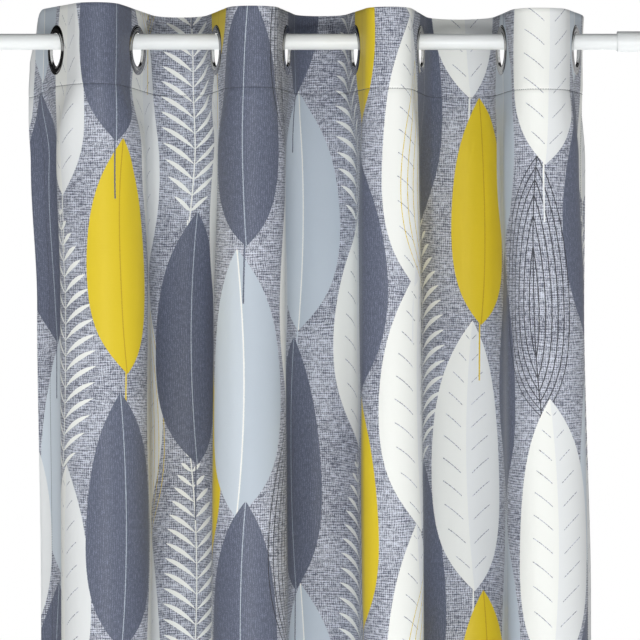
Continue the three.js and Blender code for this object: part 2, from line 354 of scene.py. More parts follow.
def relief(flats, drop):
    """How far the cloth stands proud of its folds, towards the room."""
    rise = np.zeros(len(flats))
    for uneven in UNEVEN:
        along, down, layer = uneven["along"], uneven["down"], uneven["layer"]
        places = [Vector((flat * along, drop * down, layer)) for flat in flats]
        rise += uneven["rise"] * np.array([noise.noise(place) for place in places])
    for crease in CREASES:
        top, bottom = crease["top"] * MM, crease["bottom"] * MM
        share = (drop - top) / (bottom - top)
        fade = ease((drop - top) / CREASE_FADE + 0.3) * ease((bottom - drop) / (2 * CREASE_FADE))
        middle = (crease["flat"] + crease["drift"] * share) * MM
        bell = np.exp(-(((flats - middle) / (crease["wide"] * MM)) ** 2))
        rise += crease["rise"] * MM * fade * bell
    return rise * beside_rings(flats, drop)


def cloth_points(flats, drop, offset):
    """Points on the hung cloth. offset is how far they lie behind its middle."""
    flats = np.asarray(flats, float)
    x, y, heading = fold_line(drop, flats)
    behind = offset - relief(flats, drop)
    return np.column_stack([
        x - np.sin(heading) * behind,
        y + np.cos(heading) * behind,
        height_at(flats, drop),
    ])


print("ring height", round(RING_HEIGHT, 5))

# %% [markdown]
# ## Sheets of cloth
#
# A plane with a Solidify modifier would give cloth the same thickness all over. Here the
# hems are thicker at the back, edges are rounded, and the stitched seam sinks in, so each
# sheet is built as a closed grid: a room face, a back face and a rim. Its UV map holds the
# flat cloth in metres. Where cloth is turned over to the back, as in the hems and the
# heading, the map is mirrored about the fold, so that the print carries on round the edge.

# %% Columns of a sheet
FLAT_STEP = 5 * MM
EDGE_ROUND = 0.7 * MM
SEAM_INSET = 2 * MM  # from a hem's inner edge to its stitches


def spread(stops, step):
    """Places from the first stop to the last that keep every stop and are a step apart."""
    places = [stops[0]]
    for first, last in zip(stops, stops[1:]):
        count = max(1, round((last - first) / step))
        places += list(np.linspace(first, last, count + 1)[1:])
    return np.array(places)


left_stops = [0, EDGE_ROUND, SIDE_HEM - SEAM_INSET, SIDE_HEM, SIDE_HEM + SEAM_INSET]
FLATS = spread(left_stops + [CLOTH_WIDTH - stop for stop in reversed(left_stops)], FLAT_STEP)
print("columns", len(FLATS))

# %% Thickness of a sheet
EDGE_SHARE = 0.35  # of the thickness is left at the rounded edge
SEAM_SINK = 0.55 * MM
SEAM_WIDTH = 1.8 * MM
HEM_SEAM_SHARE = 0.6  # a hem's seam sinks less than the heading's
HEM_STEP = 2 * MM  # the distance in which a hem's extra layers end


def rim(distance):
    """1 inside a sheet, falling to a rounded edge at distance 0."""
    share = np.clip(distance / EDGE_ROUND, 0, 1)
    return EDGE_SHARE + (1 - EDGE_SHARE) * np.sqrt(1 - (1 - share) ** 2)


def seam_sink(distance):
    """How far the faces sink beside a line of stitches."""
    return SEAM_SINK * np.exp(-((distance / SEAM_WIDTH) ** 2))


def face_offsets(drop, in_heading):
    """How far the room face and the back face lie from the middle of the cloth."""
    from_side = np.minimum(FLATS, CLOTH_WIDTH - FLATS)
    edge = rim(from_side) * (rim(drop) if in_heading else rim(CLOTH_DROP - drop))
    seam = seam_sink(abs(drop - HEADING_DEPTH))
    half = (HEADING_THICKNESS if in_heading else CLOTH_THICKNESS) / 2
    hem = 0 * FLATS
    if not in_heading:
        in_side_hem, in_bottom_hem = SIDE_HEM - from_side, drop - CLOTH_DROP + BOTTOM_HEM
        beside = ease(in_side_hem / HEM_STEP + 0.5)
        below = ease(in_bottom_hem / HEM_STEP + 0.5)
        hem = HEM_THICKNESS * np.maximum(beside, below)
        side_seam = seam_sink(in_side_hem - SEAM_INSET)
        bottom_seam = seam_sink(in_bottom_hem - SEAM_INSET)
        seam = np.maximum(seam, np.maximum(side_seam, bottom_seam) * HEM_SEAM_SHARE)
    return edge * (half - seam), edge * (half + hem - seam)


print("thickness at the side edge", face_offsets(CLOTH_DROP / 2, False)[0][0] * 2)

# %% The flat cloth on the back
PRINTED, REVERSE = 0, 1


def back_uv(flat, drop):
    """The flat cloth that shows at a place on the back, and whether it is the printed side."""
    if drop < HEADING_DEPTH:
        return flat, drop, PRINTED
    if drop > CLOTH_DROP - BOTTOM_HEM:
        return flat, drop - 2 * CLOTH_DROP, PRINTED
    if flat < SIDE_HEM:
        return -flat, -drop, PRINTED
    if flat > CLOTH_WIDTH - SIDE_HEM:
        return 2 * CLOTH_WIDTH - flat, -drop, PRINTED
    return flat, -drop, REVERSE


def turned(flat, drop, middle_flat, middle_drop):
    """A corner's flat place, turned over in the same way as the middle of its face."""
    u, v, _ = back_uv(middle_flat, middle_drop)
    u += (flat - middle_flat) * (1 if abs(u - middle_flat) < 1e-9 else -1)
    v += (drop - middle_drop) * (-1 if abs(v + middle_drop) < 1e-9 else 1)
    return u, v


print("behind the left hem lies", back_uv(SIDE_HEM / 2, CLOTH_DROP / 2))


# %% One closed sheet
def new_piece(name, points, faces):
    """An object of the given points and faces, shaded smooth."""
    mesh = bpy.data.meshes.new(name)
    mesh.from_pydata(points, [], faces)
    mesh.polygons.foreach_set("use_smooth", [True] * len(faces))
    piece = bpy.data.objects.new(name, mesh)
    bpy.context.scene.collection.objects.link(piece)
    return piece


def cloth_sheet(name, drops, in_heading):
    """A closed sheet of the hung cloth through rows at the given drops, and its two faces."""
    wide, rows = len(FLATS), len(drops)
    room, back = [], []
    for drop in drops:
        room_half, back_half = face_offsets(drop, in_heading)
        room.append(cloth_points(FLATS, drop, -room_half))
        back.append(cloth_points(FLATS, drop, back_half))
    room, back = np.array(room), np.array(back)
    points = np.concatenate([room.reshape(-1, 3), back.reshape(-1, 3)])
    layer = rows * wide

    faces, uvs, sides = [], [], []

    def quad(corners, behind):
        """One face. A corner is a row, a column and 1 for the back."""
        middle_row = (min(c[0] for c in corners) + max(c[0] for c in corners)) / 2
        middle_column = (min(c[1] for c in corners) + max(c[1] for c in corners)) / 2
        side = PRINTED
        if behind:
            drop = float(np.interp(middle_row, range(rows), drops))
            flat = float(np.interp(middle_column, range(wide), FLATS))
            side = back_uv(flat, drop)[2]
        for row, column, _ in corners:
            if behind:
                u, v = turned(FLATS[column], drops[row], flat, drop)
            else:
                u, v = FLATS[column], -drops[row]
            uvs.append((u, v))
        faces.append([c[2] * layer + c[0] * wide + c[1] for c in corners])
        sides.append(side)

    for r in range(rows - 1):
        for c in range(wide - 1):
            quad([(r, c, 0), (r + 1, c, 0), (r + 1, c + 1, 0), (r, c + 1, 0)], False)
            quad([(r, c, 1), (r, c + 1, 1), (r + 1, c + 1, 1), (r + 1, c, 1)], True)
        quad([(r, 0, 0), (r, 0, 1), (r + 1, 0, 1), (r + 1, 0, 0)], False)
        end = wide - 1
        quad([(r, end, 0), (r + 1, end, 0), (r + 1, end, 1), (r, end, 1)], False)
    for c in range(wide - 1):
        end = rows - 1
        quad([(0, c, 0), (0, c + 1, 0), (0, c + 1, 1), (0, c, 1)], False)
        quad([(end, c, 0), (end, c, 1), (end, c + 1, 1), (end, c + 1, 0)], False)

    piece = new_piece(name, points.tolist(), faces)
    uv_map = piece.data.uv_layers.new(name="flat_cloth")
    uv_map.data.foreach_set("uv", np.array(uvs, np.float32).ravel())
    piece.data.polygons.foreach_set("material_index", sides)
    piece.data.update()
    return piece, room, back


# %% Panel and heading
PANEL_STEP = 9.4 * MM
HEADING_STEP = 6 * MM
NEAR_SEAM = [8 * MM, 3 * MM, 1.2 * MM]  # rows that follow the heading's sunk seam

heading_drops = spread(
    [0, EDGE_ROUND, *[HEADING_DEPTH - near for near in NEAR_SEAM], HEADING_DEPTH],
    HEADING_STEP,
)
hem_edge = CLOTH_DROP - BOTTOM_HEM
panel_drops = spread(
    [HEADING_DEPTH, *[HEADING_DEPTH + near for near in reversed(NEAR_SEAM)]]
    + [hem_edge - SEAM_INSET, hem_edge, hem_edge + SEAM_INSET]
    + [CLOTH_DROP - EDGE_ROUND, CLOTH_DROP],
    PANEL_STEP,
)
panel, panel_room, panel_back = cloth_sheet("curtain_cloth", panel_drops, False)
heading = cloth_sheet("heading_band", heading_drops, True)[0]
print("panel faces", len(panel.data.polygons), "heading faces", len(heading.data.polygons))

# %% [markdown]
# ## Eyelet holes
#
# A punch cuts the holes in the stiffened heading. A Boolean modifier is that punch: a
# cylinder stands square to the cloth at each eyelet, and what it meets is taken away. The
# rings cover the cut edge, so nobody sees that it is plain.

# %% Eyelet holes
PUNCH_DEPTH = 20 * MM


def ring_turn(index):
    """How a ring is turned: its axis is square to the cloth, which leans each way in turn."""
    lean = -1 if index % 2 == 0 else 1
    return lean * math.radians(COLUMNS[index]["ring"])


def ring_place(index):
    """The middle of a ring."""
    return Vector((COLUMNS[index]["heading"] * MM, 0, RING_HEIGHT))


def only(piece):
    """Selects one object and makes it active."""
    if bpy.context.object and bpy.context.object.mode != "OBJECT":
        bpy.ops.object.mode_set(mode="OBJECT")
    bpy.ops.object.select_all(action="DESELECT")
    piece.select_set(True)
    bpy.context.view_layer.objects.active = piece


punches = []
for index in range(len(COLUMNS)):
    bpy.ops.object.select_all(action="DESELECT")
    bpy.ops.mesh.primitive_cylinder_add(
        vertices=64,
        radius=RING_CUT_RADIUS,
        depth=PUNCH_DEPTH,
        location=ring_place(index),
        rotation=(math.radians(90), 0, ring_turn(index)),
    )
    punches.append(bpy.context.object)
for punch in punches:
    punch.select_set(True)
bpy.ops.object.join()
punch = bpy.context.object
only(heading)
cut = heading.modifiers.new("eyelet holes", "BOOLEAN")
cut.operation = "DIFFERENCE"
cut.solver = "EXACT"
cut.object = punch
bpy.ops.object.modifier_apply(modifier=cut.name)
bpy.data.objects.remove(punch)
# The cylinder brings its own UV map, which the cloth has no use for
while len(heading.data.uv_layers) > 1:
    heading.data.uv_layers.remove(heading.data.uv_layers[-1])
print("heading faces with holes", len(heading.data.polygons))

# %% [markdown]
# ## Stitches
#
# A lockstitch shows as a row of short threads that dip into the cloth at both ends. Each
# one is a spindle of a few faces, and a whole seam is one mesh. A curve with a thread
# texture would be lighter, but it couldn't dip in and out of the cloth.

# %% Stitches
STITCH_LENGTH = 3.2 * MM
STITCH_GAP = 0.3 * MM
THREAD_RADIUS = 0.32 * MM
STITCH_SIDES = 5
# Going along a stitch: the share of its length, then its width and its lift in radii
STITCH_SHAPE = [(0, 0.3, -0.5), (0.2, 1, 0.35), (0.5, 1, 0.7), (0.8, 1, 0.35), (1, 0.3, -0.5)]


def looked_up(grid, flat, drop):
    """A point of the panel's grid between its rows and columns."""
    row = min(np.interp(drop, panel_drops, range(len(panel_drops))), len(panel_drops) - 1.001)
    column = min(np.interp(flat, FLATS, range(len(FLATS))), len(FLATS) - 1.001)
    r, c = int(row), int(column)
    upper = grid[r, c] * (1 + c - column) + grid[r, c + 1] * (column - c)
    lower = grid[r + 1, c] * (1 + c - column) + grid[r + 1, c + 1] * (column - c)
    return upper * (1 + r - row) + lower * (row - r)


def room_face(flat, drop):
    """A point on the room face of the panel, and the direction out of it."""
    near, far = looked_up(panel_room, flat, drop), looked_up(panel_back, flat, drop)
    return Vector(near), Vector(near - far).normalized()


def stitch_line(name, places):
    """One seam: a stitch between each two places, which are flat distances and drops."""
    points, faces = [], []
    for (flat, drop), (next_flat, next_drop) in zip(places, places[1:]):
        start, outward = room_face(flat, drop)
        end, _ = room_face(next_flat, next_drop)
        along = end - start
        length = along.length
        along.normalize()
        side = outward.cross(along).normalized()
        first = len(points)
        for share, width, lift in STITCH_SHAPE:
            centre = start + along * (STITCH_GAP / 2 + share * (length - STITCH_GAP))
            centre += outward * lift * THREAD_RADIUS
            for k in range(STITCH_SIDES):
                angle = 2 * math.pi * k / STITCH_SIDES
                around = side * math.cos(angle) + outward * math.sin(angle)
                points.append(centre + around * THREAD_RADIUS * width)
        for ring in range(len(STITCH_SHAPE) - 1):
            for k in range(STITCH_SIDES):
                here = first + ring * STITCH_SIDES + k
                beside = first + ring * STITCH_SIDES + (k + 1) % STITCH_SIDES
                faces.append((here, beside, beside + STITCH_SIDES, here + STITCH_SIDES))
        last = first + (len(STITCH_SHAPE) - 1) * STITCH_SIDES
        faces.append(tuple(first + k for k in reversed(range(STITCH_SIDES))))
        faces.append(tuple(last + k for k in range(STITCH_SIDES)))
    return new_piece(name, [tuple(point) for point in points], faces)


def steps(first, last):
    """Places a stitch apart."""
    return np.linspace(first, last, round(abs(last - first) / STITCH_LENGTH) + 1)


# %% Sew the seams
STITCH_INSET = 1.5 * MM  # from an edge of the cloth to the first stitch
BELOW_HEADING = 4 * MM

hem_drop = hem_edge + SEAM_INSET
side_flat = SIDE_HEM - SEAM_INSET
across = steps(STITCH_INSET, CLOTH_WIDTH - STITCH_INSET)
down = steps(HEADING_DEPTH + BELOW_HEADING, CLOTH_DROP - STITCH_INSET)
stitches = [
    stitch_line("heading_stitches", [(flat, HEADING_DEPTH) for flat in across]),
    stitch_line("left_hem_stitches", [(side_flat, drop) for drop in down]),
    stitch_line("right_hem_stitches", [(CLOTH_WIDTH - side_flat, drop) for drop in down]),
    stitch_line("bottom_hem_stitches", [(flat, hem_drop) for flat in across]),
]
stitch_points = len(STITCH_SHAPE) * STITCH_SIDES
print("stitches", sum(len(piece.data.vertices) for piece in stitches) // stitch_points)

# %% [markdown]
# ## Spun metal
#
# Rings, tubes and caps are turned shapes. Each is one outline that goes round an axis,
# which is what the Spin operator does. A circle is added for its closed loop of edges, its
# points are put on the outline, and the loop is spun. Merging what lies in one place closes
# the seam of the spin, and the poles where a cap's outline touches the axis.

# %% Spun shapes
SPIN_STEPS = 96
MERGE_DISTANCE = 0.01 * MM


def spun(name, outline, axis):
    """A closed outline of radius and height pairs, in metres, spun round an axis."""
    bpy.ops.object.select_all(action="DESELECT")
    bpy.ops.mesh.primitive_circle_add(vertices=len(outline), location=(0, 0, 0))
    piece = bpy.context.object
    piece.name = name
    piece.data.name = name
    for vertex, (radius, height) in zip(piece.data.vertices, outline):
        vertex.co = (height, 0, radius) if axis == "X" else (radius, 0, height)
    bpy.ops.object.mode_set(mode="EDIT")
    bpy.ops.mesh.select_all(action="SELECT")
    bpy.ops.mesh.spin(
        steps=SPIN_STEPS,
        angle=2 * math.pi,
        center=(0, 0, 0),
        axis=(1, 0, 0) if axis == "X" else (0, 0, 1),
    )
    bpy.ops.mesh.select_all(action="SELECT")
    bpy.ops.mesh.remove_doubles(threshold=MERGE_DISTANCE)
    bpy.ops.mesh.delete_loose(use_faces=False)
    bpy.ops.mesh.select_all(action="SELECT")
    bpy.ops.mesh.normals_make_consistent(inside=False)
    bpy.ops.object.mode_set(mode="OBJECT")
    return piece


def smooth_by_angle(piece, degrees):
    """Shades as one surface all faces that meet at less than an angle."""
    only(piece)
    bpy.ops.object.shade_smooth_by_angle(angle=math.radians(degrees))


# %% [markdown]
# ## Ring eyelets
# A ring eyelet is two pressed metal rings that clip into each other through the hole. The
# face is a shallow dome with a rolled lip at the hole, and the barrel inside has a fine
# joint where the two halves meet. The barrel's faces get the second of two finishes, a
# lighter metal that is painted reflection of the white room seen through the hole. One
# ring is turned once and copied to each place.

# %% Ring eyelets
# The upper half of a ring's outline, from the joint in the barrel outwards, in millimetres
RING_HALF = [
    (21.6, 0.0), (21.6, 0.1), (21.35, 0.25), (21.35, 0.9), (21.42, 1.3), (21.62, 1.65),
    (21.95, 1.92), (22.4, 2.06), (22.85, 2.04), (23.2, 1.88), (23.5, 1.7), (23.9, 1.66),
    (24.6, 1.78), (25.5, 1.92), (26.5, 1.97), (27.5, 1.92), (28.4, 1.78), (29.1, 1.58),
    (29.5, 1.4), (29.75, 1.32), (30.05, 1.38), (30.5, 1.56), (30.95, 1.56), (31.45, 1.38),
    (31.8, 1.16), (31.95, 1.02), (31.8, 0.94), (28.0, 0.94), (24.3, 0.94), (24.1, 0.7),
]
BARREL_REACH = 21.6 * MM  # faces nearer to the axis are the barrel
RING_SMOOTH = 38

outline = [(r * MM, h * MM) for r, h in RING_HALF]
outline += [(r, -h) for r, h in reversed(outline[1:])]
pattern = spun("ring_pattern", outline, "Z")
smooth_by_angle(pattern, RING_SMOOTH)
for polygon in pattern.data.polygons:
    # The barrel's faces take the second finish, a lighter metal that is painted reflection of the
    # white room
    polygon.material_index = int(polygon.center.xy.length < BARREL_REACH)
rings = []
for index in range(len(COLUMNS)):
    ring = pattern.copy()
    ring.data = pattern.data.copy()
    ring.name = f"ring_{index + 1}"
    ring.data.name = ring.name
    turn = Euler((math.radians(90), 0, ring_turn(index))).to_matrix().to_4x4()
    turn.translation = ring_place(index)
    ring.data.transform(turn)
    bpy.context.scene.collection.objects.link(ring)
    rings.append(ring)
bpy.data.objects.remove(pattern)
print("rings", len(rings), "faces each", len(rings[0].data.polygons))

# %% [markdown]
# ## Rod
#
# The rod is two thin steel tubes, one inside the other, with a moulded cap at each end. The
# places come from the packed solids. The mouth of the thick tube is rolled in a little, and
# the caps have a soft edge. A fine outline takes the place of the faceted tubes.

# %% Outlines of the rod
OUTER_TUBE_WALL = 2.4 * MM
INNER_TUBE_WALL = 1.2 * MM
OUTER_MOUTH_ROUND = 0.9 * MM
INNER_MOUTH_ROUND = 0.2 * MM
CAP_LIP = 1.5 * MM  # how far a cap stands out from its tube
CAP_ROUND = 1.4 * MM
CAP_THICKNESS = 4 * MM
CAP_GAP = 0.35 * MM
ROD_SMOOTH = 40


def quarter(count):
    """Angles from 0 to a right angle."""
    return [math.radians(90 * k / count) for k in range(count + 1)]


def tube_outline(left, right, radius, wall, left_round):
    """Outline of a tube with a rounded left mouth."""
    mouth = [
        (radius - left_round * (1 - math.sin(a)), left + left_round * (1 - math.cos(a)))
        for a in quarter(5)
    ]
    return [(radius - wall, left), *mouth, (radius, right), (radius - wall, right)]


def cap_outline(shoulder, radius, side):
    """Outline of a cap: a disc with a rounded face. side is -1 for the left end."""
    outer, face = radius + CAP_LIP, shoulder + side * CAP_THICKNESS
    edge = [
        (outer - CAP_ROUND * (1 - math.cos(a)), face - side * CAP_ROUND * (1 - math.sin(a)))
        for a in quarter(6)
    ]
    return [(0, shoulder), (outer, shoulder), *edge, (0, face)]


print("points round a cap", len(cap_outline(0, 0.01, 1)))

# %% Tubes and caps
inner_low, inner_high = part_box("rod_inner_tube")
outer_low, outer_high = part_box("rod_outer_tube")
inner_radius, outer_radius = inner_high.z, outer_high.z
inner_outline = tube_outline(
    inner_low.x, inner_high.x, inner_radius, INNER_TUBE_WALL, INNER_MOUTH_ROUND
)
outer_outline = tube_outline(
    outer_low.x, outer_high.x, outer_radius, OUTER_TUBE_WALL, OUTER_MOUTH_ROUND
)
tubes = [spun("inner_tube", inner_outline, "X"), spun("outer_tube", outer_outline, "X")]
caps = [
    spun("cap_left", cap_outline(inner_low.x - CAP_GAP, inner_radius, -1), "X"),
    spun("cap_right", cap_outline(outer_high.x + CAP_GAP, outer_radius, 1), "X"),
]
for piece in tubes + caps:
    smooth_by_angle(piece, ROD_SMOOTH)
print("tubes", [round(v, 4) for v in (inner_low.x, inner_high.x, outer_low.x, outer_high.x)])

# %% [markdown]
# ## Finishes as sums
#
# A shader is a lot of arithmetic, which is easier to read as Python than as a web of nodes.
# A `Number` wraps a node's output, and adding or multiplying two of them adds the Math node
# that does it. A `Finish` is a material, or the light of the room, with one method that
# adds any node.

# %% Numbers
class Number:
    """A number that a finish works out at each point of a surface."""

    def __init__(self, finish, socket):
        self.finish, self.socket = finish, socket

    def __add__(self, other):
        return self.finish.math("ADD", self, other)

    def __radd__(self, other):
        return self.finish.math("ADD", other, self)

    def __sub__(self, other):
        return self.finish.math("SUBTRACT", self, other)

    def __rsub__(self, other):
        return self.finish.math("SUBTRACT", other, self)

    def __mul__(self, other):
        return self.finish.math("MULTIPLY", self, other)

    def __rmul__(self, other):
        return self.finish.math("MULTIPLY", other, self)

    def __truediv__(self, other):
        return self.finish.math("DIVIDE", self, other)

    def __lt__(self, other):
        return self.finish.math("LESS_THAN", self, other)

    def __gt__(self, other):
        return self.finish.math("GREATER_THAN", self, other)

    def __abs__(self):
        return self.finish.math("ABSOLUTE", self)

    def wrap(self, half):
        """The number brought into the range from -half to half by whole repeats."""
        return self.finish.math("WRAP", self, half, -half)

    def most(self, other):
        """The larger of two numbers."""
        return self.finish.math("MAXIMUM", self, other)


print("sums", [name for name in vars(Number) if not name.startswith("__")])


# %% Finishes
class Finish:
    """The nodes of a material, or of the light in the room, and what they work out."""

    def __init__(self, name, holders=bpy.data.materials):
        self.holder = holders.new(name)
        self.holder.use_nodes = True
        self.tree = self.holder.node_tree
        self.tree.nodes.clear()

    def node(self, kind, settings=None, inputs=None):
        """Adds a node: its settings first, then a value or a link for each socket."""
        made = self.tree.nodes.new("ShaderNode" + kind)
        for name, value in (settings or {}).items():
            setattr(made, name, value)
        for name, value in (inputs or {}).items():
            value = value.socket if isinstance(value, Number) else value
            if isinstance(value, bpy.types.NodeSocket):
                self.tree.links.new(value, made.inputs[name])
            else:
                made.inputs[name].default_value = value
        return made

    def math(self, operation, *values):
        """One sum, from a Math node."""
        made = self.node("Math", {"operation": operation}, dict(enumerate(values)))
        return Number(self, made.outputs[0])

    def mix(self, share, first, second):
        """A colour between two others. The node's sockets share names, so they have numbers."""
        made = self.node("Mix", {"data_type": "RGBA"}, {0: share, 6: first, 7: second})
        return made.outputs[2]

    def grain(self, place, scale, detail):
        """Smooth random numbers from 0 to 1. scale says how fine they are each way."""
        stretched = self.node("Mapping", None, {"Vector": place, "Scale": scale})
        made = self.node(
            "TexNoise",
            {"noise_dimensions": "3D"},
            {"Vector": stretched.outputs[0], "Scale": 1.0, "Detail": detail},
        )
        return Number(self, made.outputs[0])

    def between(self, value, low, high):
        """0 below low, 1 above high."""
        made = self.node(
            "MapRange",
            {"interpolation_type": "SMOOTHSTEP"},
            {"Value": value, "From Min": low, "From Max": high},
        )
        return Number(self, made.outputs[0])

    def bump(self, height, distance, strength):
        """Relief too fine to model: a height from 0 to 1, and how far 1 stands out."""
        made = self.node(
            "Bump", None, {"Strength": strength, "Distance": distance, "Height": height}
        )
        return made.outputs[0]

    def surface(self, **inputs):
        """The shader itself, from the names of its sockets."""
        named = {name.replace("_", " "): value for name, value in inputs.items()}
        shader = self.node("BsdfPrincipled", None, named)
        self.node("OutputMaterial", None, {"Surface": shader.outputs[0]})
        return self.holder


def colour(code):
    """A colour as nodes hold it, from its usual code."""
    parts = [int(code[i : i + 2], 16) / 255 for i in (1, 3, 5)]
    linear = [p / 12.92 if p <= 0.04045 else ((p + 0.055) / 1.055) ** 2.4 for p in parts]
    return (*linear, 1.0)


print("mid grey, as nodes hold it", round(colour("#808080")[0], 3))

# %% [markdown]
# ## Printed cloth
#
# The cloth is printed with upright leaves on a ground that imitates coarse linen. The
# print is worked out from the flat cloth's own measures, so it bends with the folds. It
# repeats across and down, and the next repeat to the side is half a drop lower, as on any
# furnishing print. Each leaf is a row of a table. Its outline is a parabola on each side of
# the midrib, so one product tells whether a point is inside it. Leaflets and cut-out veins
# are repeats of a slanting measure, and nested outlines are repeats of the distance to the
# edge. The ground is two sets of thread lines that cross, each light in some lengths and
# dark in others. An image would be simpler, but it would stay sharp at one size only.

# %% Leaves and inks
REPEAT_ACROSS = 760 * MM
REPEAT_DOWN = 640 * MM

# across and up give the middle of a leaf in the repeat, in millimetres. bow bends it
# sideways. Where leaves overlap, a later row lies over an earlier one.
LEAVES = table(
    "across up tall wide bow kind",
    (46, 66, 312, 102, 8, "pale"),
    (38, 378, 330, 98, -10, "slate"),
    (137, 214, 356, 96, 12, "white fern"),
    (150, 548, 300, 92, -8, "white"),
    (238, 322, 298, 86, -9, "ochre"),
    (228, 628, 324, 104, 7, "slate"),
    (336, 470, 340, 106, -8, "white"),
    (324, 140, 342, 104, 10, "white"),
    (352, 112, 290, 84, -5, "ochre outlines"),
    (424, 548, 352, 94, 11, "white fern"),
    (436, 222, 330, 106, -9, "slate"),
    (520, 392, 352, 104, -10, "white"),
    (532, 70, 296, 92, 8, "ochre"),
    (612, 166, 338, 106, 10, "pale"),
    (624, 498, 320, 100, -7, "slate"),
    (708, 610, 330, 92, -9, "dark outlines"),
    (718, 296, 346, 104, 9, "white"),
)
INKS = {
    "slate": colour("#535a6d"),
    "white": colour("#f3f5f1"),
    "chalk": colour("#e9eced"),
    "pale": colour("#cdd7e0"),
    "mist": colour("#bcc7d2"),
    "ochre": colour("#e3c812"),
    "amber": colour("#c9a509"),
    "dark": colour("#30333d"),
}
print("leaves in a repeat", len(LEAVES), "inks", len(INKS))

# %% One leaf
LINE = 1.0 * MM  # half the width of a printed line
STALK = 72 * MM
STALK_LEAN = 2 * MM
STALK_OVERLAP = 4 * MM  # what runs up into the leaf
SHOULDER = 0.45  # makes a leaf fuller than a parabola
TAPER = 0.2  # makes it wider below its middle than above
VEIN_CURVE = 7  # for each metre out from the midrib
VEIN_FROM, VEIN_TO = 0.14, 0.62  # where cut-out veins start and end on the way to the edge


class Leaf:
    """One leaf of the repeat, worked out at each point of the cloth."""

    def __init__(self, u, v, row):
        tall, wide, bow = row["tall"] * MM, row["wide"] * MM, row["bow"] * MM
        from_left = u - row["across"] * MM
        beside = from_left.wrap(REPEAT_ACROSS / 2)
        lower = (from_left - beside) * (REPEAT_DOWN / 2 / REPEAT_ACROSS)
        self.up = (v - row["up"] * MM + lower).wrap(REPEAT_DOWN / 2)
        share = self.up * (2 / tall)
        squared = share * share
        belly = 1 - squared
        self.half = belly * (squared * SHOULDER + 1) * (wide / 2) * (1 - TAPER * share)
        self.beside = beside - belly * bow
        self.out = abs(self.beside)
        self.inside = self.out < self.half
        self.reach = self.out / self.half
        below = -tall / 2
        self.stalk = (abs(beside - share * STALK_LEAN) < LINE) * (self.up > below - STALK)
        self.stalk = self.stalk * (self.up < below + STALK_OVERLAP)
        self.right = self.beside > 0

    def nested(self, pitch, line):
        """Outlines one inside the other, from the edge to the midrib."""
        return self.inside * (abs((self.half - self.out - line).wrap(pitch / 2)) < line)

    def slanting(self, pitch, slope):
        """How far a point is from the nearest of the lines that run up from the midrib."""
        curve = self.out * self.out * (slope * VEIN_CURVE)
        return abs((self.up - self.out * slope + curve).wrap(pitch / 2))

    def leaflets(self, pitch, thick, slope):
        """Pointed leaflets in pairs."""
        belly = self.reach * (1 - self.reach) * (2 * thick)
        return self.inside * (self.slanting(pitch, slope) < belly)

    def cuts(self, pitch, line, slope):
        """Short cut-out veins, which don't reach the midrib or the edge."""
        short = (self.reach > VEIN_FROM) * (self.reach < VEIN_TO)
        return self.inside * short * (self.slanting(pitch, slope) < line)

    def midrib(self, line):
        """The line down the middle."""
        return self.inside * (self.out < line)


def leaf_layers(leaf, kind):
    """What is printed for one leaf: each ink, and where it is printed."""
    if kind == "white fern":
        leaflets = leaf.leaflets(pitch=20 * MM, thick=7 * MM, slope=0.9)
        lines = leaflets.most(leaf.midrib(0.9 * LINE))
        return [("white", lines.most(leaf.stalk))]
    if kind == "dark outlines":
        nested = leaf.nested(pitch=8 * MM, line=0.7 * LINE)
        lines = nested.most(leaf.midrib(0.7 * LINE))
        return [("dark", lines.most(leaf.stalk))]
    if kind == "ochre outlines":
        nested = leaf.nested(pitch=9.5 * MM, line=0.5 * LINE)
        lines = nested.most(leaf.midrib(0.5 * LINE))
        return [("ochre", lines.most(leaf.stalk))]
    solid = leaf.inside.most(leaf.stalk)
    if kind == "white":
        solid = solid - leaf.cuts(pitch=30 * MM, line=0.6 * LINE, slope=1.1)
        return [("white", solid), ("chalk", solid * leaf.right)]
    if kind == "pale":
        return [("pale", solid), ("mist", solid * leaf.right), ("white", leaf.midrib(LINE))]
    if kind == "ochre":
        return [("ochre", solid), ("amber", leaf.midrib(0.8 * LINE))]
    return [("slate", solid), ("mist", leaf.midrib(0.5 * LINE))]


# %% Linen ground and print
WEFT_PITCH = 3.1 * MM
WARP_PITCH = 2.8 * MM
WAVER = 16 * MM  # how far a thread wanders off its straight line
REGULAR = 0.26  # the share of the ground that is even threads, where the rest is random
RAGGED = 1.0 * MM  # how uneven a printed edge is
WORN = 0.025  # how much the threads show through the ink


def thread_lines(measure, pitch):
    """1 along the middle of each thread, and 0 between two threads."""
    return 1 - abs(measure.wrap(pitch / 2)) / (pitch / 2)


def print_colour(finish, u, v, place):
    """The printed side's colour, and how coarse its ground is at each point."""
    slow = finish.grain(place, (9, 16, 1), 2.0)
    waver = slow * WAVER
    across = finish.grain(place, (80, 420, 1), 1.0) * (1 - REGULAR)
    across = across + thread_lines(v + waver, WEFT_PITCH) * REGULAR
    upright = finish.grain(place, (460, 160, 1), 1.0) * (1 - REGULAR)
    upright = upright + thread_lines(u + waver, WARP_PITCH) * REGULAR
    flecks = finish.grain(place, (900, 900, 1), 0.0)
    # Light where light lengths of thread, flecks and slow changes come together
    threads = across * 0.46 + upright * 0.42 + flecks * 0.3 + slow * 0.12
    weave = finish.between(threads, 0.5, 0.8)
    made = finish.mix(weave, colour("#4b5063"), colour("#d3d8e4"))
    # Slate ink lets some of the upright threads through
    denim = finish.between(upright * 0.55 + flecks * 0.45, 0.42, 0.74)
    speckled = finish.mix(denim, INKS["slate"], colour("#7a8198"))
    rag = (flecks - 0.5) * RAGGED
    for row in LEAVES:
        for ink, printed in leaf_layers(Leaf(u + rag, v, row), row["kind"]):
            made = finish.mix(printed, made, speckled if ink == "slate" else INKS[ink])
    shade = finish.mix(threads, colour("#6a6e78"), colour("#ffffff"))
    return finish.mix(WORN, made, shade), weave


# %% Both sides of the cloth
YARN_RELIEF = 0.25 * MM


